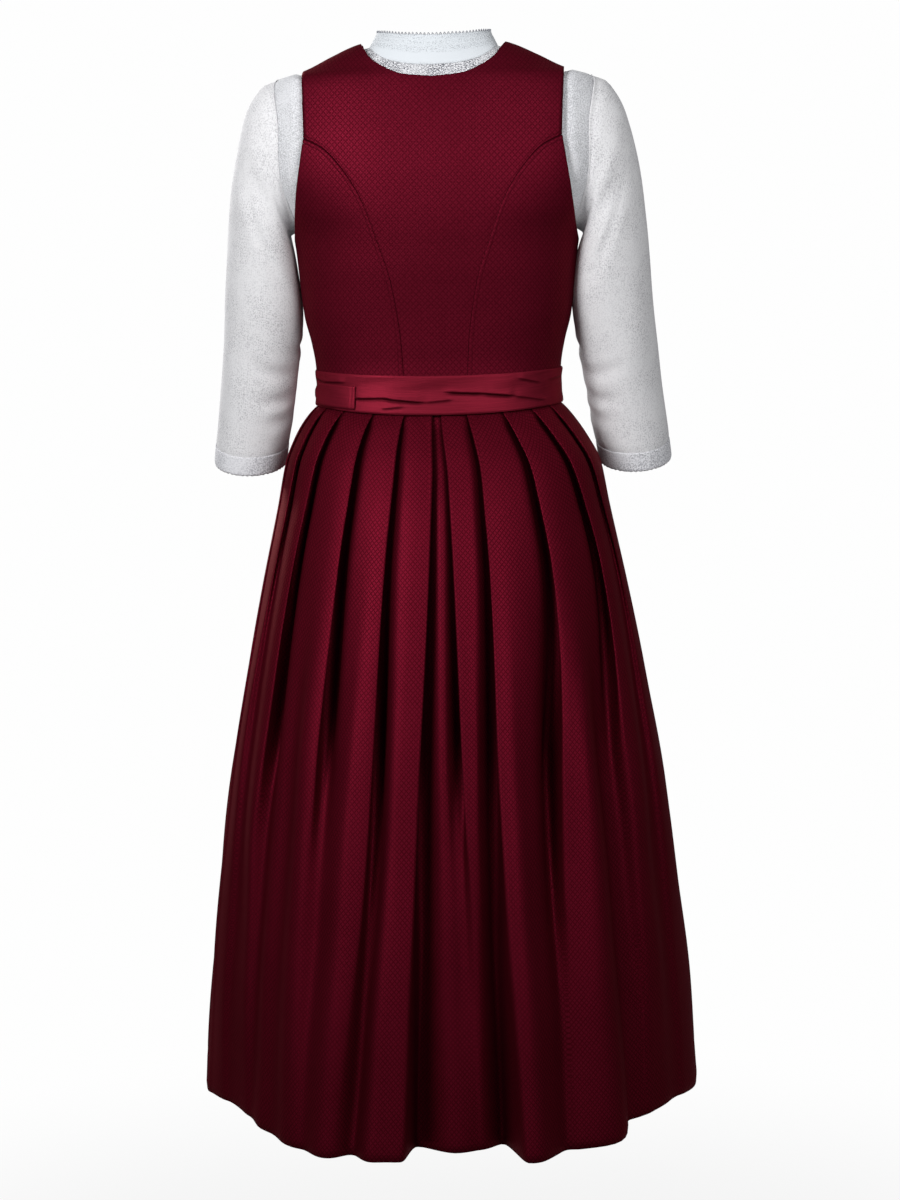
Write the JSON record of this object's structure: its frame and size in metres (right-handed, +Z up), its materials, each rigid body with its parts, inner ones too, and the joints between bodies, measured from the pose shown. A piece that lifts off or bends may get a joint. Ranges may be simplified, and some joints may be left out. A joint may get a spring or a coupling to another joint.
{
  "type": "dirndl with blouse and apron",
  "caption": "Folk dress with fitted princess-seamed bodice, pleated calf-length skirt, apron tied by a wide ribbon, and lace blouse with stand collar and elbow sleeves, filled out.",
  "frame": {"origin": "midway between the two points where the shoulder seams meet the neckline, where the garment rests on its wearer", "axes": "+Z up, -Y the garment's front, +X the wearer's left side"},
  "size_m": [0.5612, 0.5468, 1.1877],
  "materials": {
    "bodice_cloth": "woven jacquard with a soft sheen, in a small diamond lattice",
    "skirt_cloth": "woven jacquard with a soft sheen, in a fine all-over lattice",
    "ribbon_cloth": "plain light taffeta with fine cross threads",
    "blouse_lace": "white lace, partly see-through",
    "button_metal": "satin metal",
    "blouse_button_shell": "pale and glossy"
  },
  "bodies": {
    "root": {"bodice_back": "bodice_cloth", "bodice_front_left": "bodice_cloth", "bodice_front_right": "bodice_cloth", "bodice_side_back_left": "bodice_cloth", "bodice_side_back_right": "bodice_cloth", "bodice_side_front_left": "bodice_cloth", "bodice_side_front_right": "bodice_cloth", "skirt_back": "skirt_cloth", "skirt_front": "skirt_cloth", "apron_ribbon": "ribbon_cloth", "apron_ribbon_end": "ribbon_cloth", "apron_waistband": "ribbon_cloth", "apron_panel": "ribbon_cloth", "blouse_back": "blouse_lace", "blouse_front_left": "blouse_lace", "blouse_front_right": "blouse_lace", "blouse_collar": "blouse_lace", "blouse_sleeve_left": "blouse_lace", "blouse_sleeve_right": "blouse_lace", "sleeve_band_left": "blouse_lace", "sleeve_band_right": "blouse_lace", "bodice_button_1": "button_metal", "bodice_button_2": "button_metal", "bodice_button_3": "button_metal", "bodice_button_4": "button_metal", "bodice_button_5": "button_metal", "bodice_button_6": "button_metal", "blouse_button_1": "blouse_button_shell", "blouse_button_2": "blouse_button_shell", "blouse_button_3": "blouse_button_shell", "blouse_button_4": "blouse_button_shell"}
  },
  "joints": []
}
